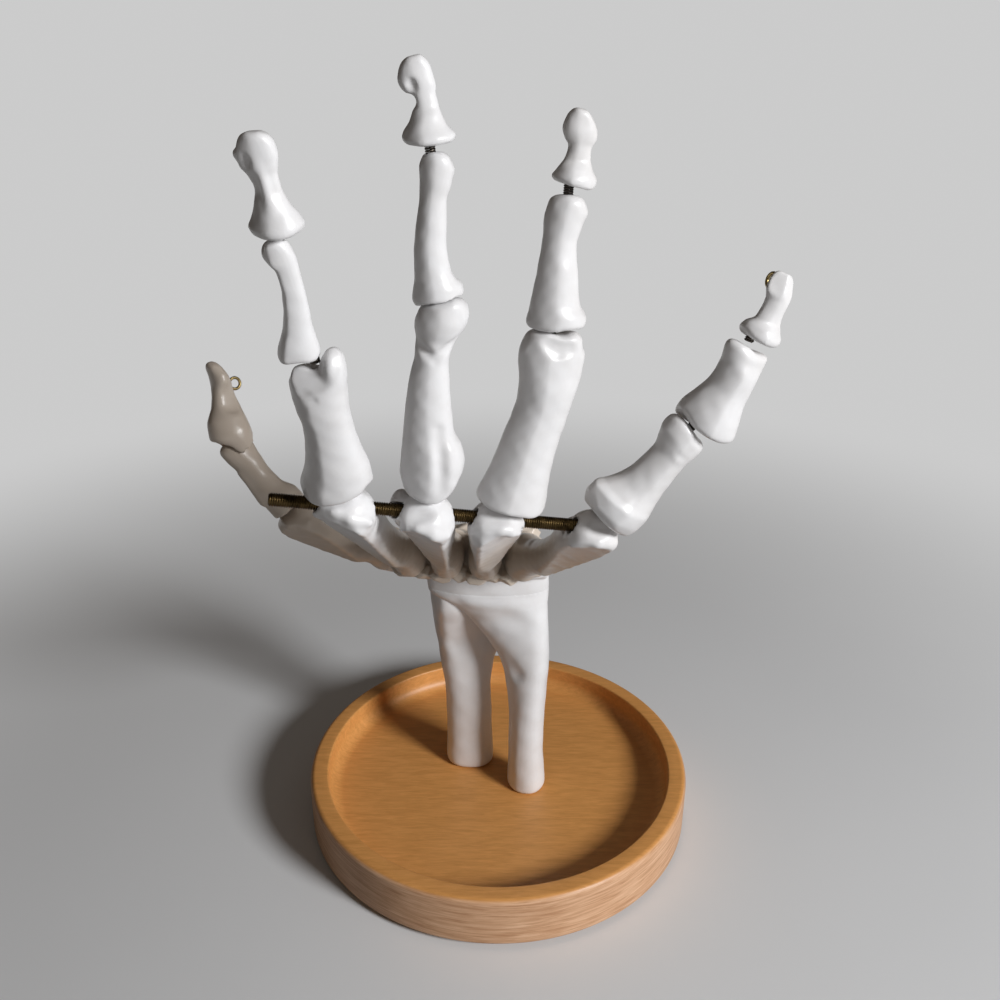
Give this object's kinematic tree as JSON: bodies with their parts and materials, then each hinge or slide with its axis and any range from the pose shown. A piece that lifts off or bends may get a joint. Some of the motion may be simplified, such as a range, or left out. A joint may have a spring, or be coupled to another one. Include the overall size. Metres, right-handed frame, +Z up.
{
  "type": "skeleton hand jewelry holder",
  "caption": "Life-size jointed skeleton hand with sprung fingers on two forearm bones in a round wooden tray, with a rod through the knuckles.",
  "frame": {"origin": "middle of the felt pad's underside, on the surface that the tray stands on", "axes": "+Z up, -Y to the front, where the back of the hand faces, +X to the right seen from the front"},
  "size_m": [0.1382, 0.1717, 0.2393],
  "materials": {
    "beech_wood": "satin varnish, fine straight grain",
    "bone_plastic": "moulded, glossy off-white",
    "dark_bronze": "dark oxidised, fine thread",
    "spring_steel": "dark oiled wire",
    "brass": "dull drawn wire",
    "zinc_steel": "zinc plated",
    "black_felt": "short pile felt"
  },
  "bodies": {
    "base": {"felt_pad": "black_felt", "tray": "beech_wood", "radius_screw": "zinc_steel", "ulna_screw": "zinc_steel", "radius": "bone_plastic", "ulna": "bone_plastic", "carpal_block": "bone_plastic", "knuckle_rod": "dark_bronze", "metacarpal_index": "bone_plastic", "metacarpal_middle": "bone_plastic", "metacarpal_ring": "bone_plastic", "metacarpal_little": "bone_plastic", "metacarpal_thumb": "bone_plastic", "knuckle_spring_index": "spring_steel", "knuckle_spring_middle": "spring_steel", "knuckle_spring_ring": "spring_steel", "knuckle_spring_little": "spring_steel", "knuckle_spring_thumb": "spring_steel"},
    "proximal_phalanx_index": {"proximal_phalanx_index": "bone_plastic", "middle_spring_index": "spring_steel"},
    "middle_phalanx_index": {"middle_phalanx_index": "bone_plastic", "end_spring_index": "spring_steel"},
    "distal_phalanx_index": {"distal_phalanx_index": "bone_plastic", "fingertip_eye_index": "brass"},
    "proximal_phalanx_middle": {"proximal_phalanx_middle": "bone_plastic", "middle_spring_middle": "spring_steel"},
    "middle_phalanx_middle": {"middle_phalanx_middle": "bone_plastic", "end_spring_middle": "spring_steel"},
    "distal_phalanx_middle": {"distal_phalanx_middle": "bone_plastic", "fingertip_eye_middle": "brass"},
    "proximal_phalanx_ring": {"proximal_phalanx_ring": "bone_plastic", "middle_spring_ring": "spring_steel"},
    "middle_phalanx_ring": {"middle_phalanx_ring": "bone_plastic", "end_spring_ring": "spring_steel"},
    "distal_phalanx_ring": {"distal_phalanx_ring": "bone_plastic", "fingertip_eye_ring": "brass"},
    "proximal_phalanx_little": {"proximal_phalanx_little": "bone_plastic", "middle_spring_little": "spring_steel"},
    "middle_phalanx_little": {"middle_phalanx_little": "bone_plastic", "end_spring_little": "spring_steel"},
    "distal_phalanx_little": {"distal_phalanx_little": "bone_plastic", "fingertip_eye_little": "brass"},
    "proximal_phalanx_thumb": {"proximal_phalanx_thumb": "bone_plastic", "end_spring_thumb": "spring_steel"},
    "distal_phalanx_thumb": {"distal_phalanx_thumb": "bone_plastic", "fingertip_eye_thumb": "brass"}
  },
  "joints": [
    {"name": "knuckle_index", "type": "hinge", "parent": "base", "child": "proximal_phalanx_index", "pos_m": [-0.03253, -0.08302, 0.15007], "axis": [-0.9933, 0.1149, 0.0106], "range_deg": [-20, 45], "stiffness_Nm_per_rad": 0.04, "deforming": ["knuckle_spring_index"]},
    {"name": "middle_index", "type": "hinge", "parent": "proximal_phalanx_index", "child": "middle_phalanx_index", "pos_m": [-0.0336, -0.09543, 0.18417], "axis": [-0.9843, 0.1307, -0.1184], "range_deg": [-10, 80], "stiffness_Nm_per_rad": 0.02, "deforming": ["middle_spring_index"]},
    {"name": "end_index", "type": "hinge", "parent": "middle_phalanx_index", "child": "distal_phalanx_index", "pos_m": [-0.03733, -0.10219, 0.20774], "axis": [-0.9946, 0.0935, -0.0445], "range_deg": [-10, 60], "stiffness_Nm_per_rad": 0.02, "deforming": ["end_spring_index"]},
    {"name": "knuckle_middle", "type": "hinge", "parent": "base", "child": "proximal_phalanx_middle", "pos_m": [-0.01607, -0.08032, 0.14732], "axis": [-0.9947, -0.0496, 0.0897], "range_deg": [-20, 45], "stiffness_Nm_per_rad": 0.04, "deforming": ["knuckle_spring_middle"]},
    {"name": "middle_middle", "type": "hinge", "parent": "proximal_phalanx_middle", "child": "middle_phalanx_middle", "pos_m": [-0.01191, -0.08417, 0.19135], "axis": [-0.9987, -0.0491, -0.0165], "range_deg": [-10, 80], "stiffness_Nm_per_rad": 0.02, "deforming": ["middle_spring_middle"]},
    {"name": "end_middle", "type": "hinge", "parent": "middle_phalanx_middle", "child": "distal_phalanx_middle", "pos_m": [-0.01232, -0.08569, 0.22041], "axis": [-0.9889, -0.0529, -0.1391], "range_deg": [-10, 60], "stiffness_Nm_per_rad": 0.02, "deforming": ["end_spring_middle"]},
    {"name": "knuckle_ring", "type": "hinge", "parent": "base", "child": "proximal_phalanx_ring", "pos_m": [-0.00069, -0.07779, 0.14474], "axis": [-0.9524, -0.1609, 0.2588], "range_deg": [-20, 45], "stiffness_Nm_per_rad": 0.04, "deforming": ["knuckle_spring_ring"]},
    {"name": "middle_ring", "type": "hinge", "parent": "proximal_phalanx_ring", "child": "middle_phalanx_ring", "pos_m": [0.00959, -0.07779, 0.18257], "axis": [-0.9811, -0.1624, 0.1053], "range_deg": [-10, 80], "stiffness_Nm_per_rad": 0.02, "deforming": ["middle_spring_ring"]},
    {"name": "end_ring", "type": "hinge", "parent": "middle_phalanx_ring", "child": "distal_phalanx_ring", "pos_m": [0.01255, -0.07677, 0.2117], "axis": [-0.9865, -0.1571, 0.0462], "range_deg": [-10, 60], "stiffness_Nm_per_rad": 0.02, "deforming": ["end_spring_ring"]},
    {"name": "knuckle_little", "type": "hinge", "parent": "base", "child": "proximal_phalanx_little", "pos_m": [0.02063, -0.07428, 0.14117], "axis": [-0.7648, -0.3525, 0.5393], "range_deg": [-20, 45], "stiffness_Nm_per_rad": 0.04, "deforming": ["knuckle_spring_little"]},
    {"name": "middle_little", "type": "hinge", "parent": "proximal_phalanx_little", "child": "middle_phalanx_little", "pos_m": [0.03862, -0.07679, 0.16504], "axis": [-0.8458, -0.322, 0.4253], "range_deg": [-10, 80], "stiffness_Nm_per_rad": 0.02, "deforming": ["middle_spring_little"]},
    {"name": "end_little", "type": "hinge", "parent": "middle_phalanx_little", "child": "distal_phalanx_little", "pos_m": [0.04918, -0.07819, 0.18498], "axis": [-0.9023, -0.3083, 0.3015], "range_deg": [-10, 60], "stiffness_Nm_per_rad": 0.02, "deforming": ["end_spring_little"]},
    {"name": "knuckle_thumb", "type": "hinge", "parent": "base", "child": "proximal_phalanx_thumb", "pos_m": [-0.0516, -0.0389, 0.1264], "axis": [-0.5542, 0.6555, -0.5131], "range_deg": [-20, 45], "stiffness_Nm_per_rad": 0.04, "deforming": ["knuckle_spring_thumb"]},
    {"name": "end_thumb", "type": "hinge", "parent": "proximal_phalanx_thumb", "child": "distal_phalanx_thumb", "pos_m": [-0.06724, -0.03657, 0.14628], "axis": [-0.6429, 0.7269, -0.2412], "range_deg": [-15, 60], "stiffness_Nm_per_rad": 0.02, "deforming": ["end_spring_thumb"]}
  ]
}
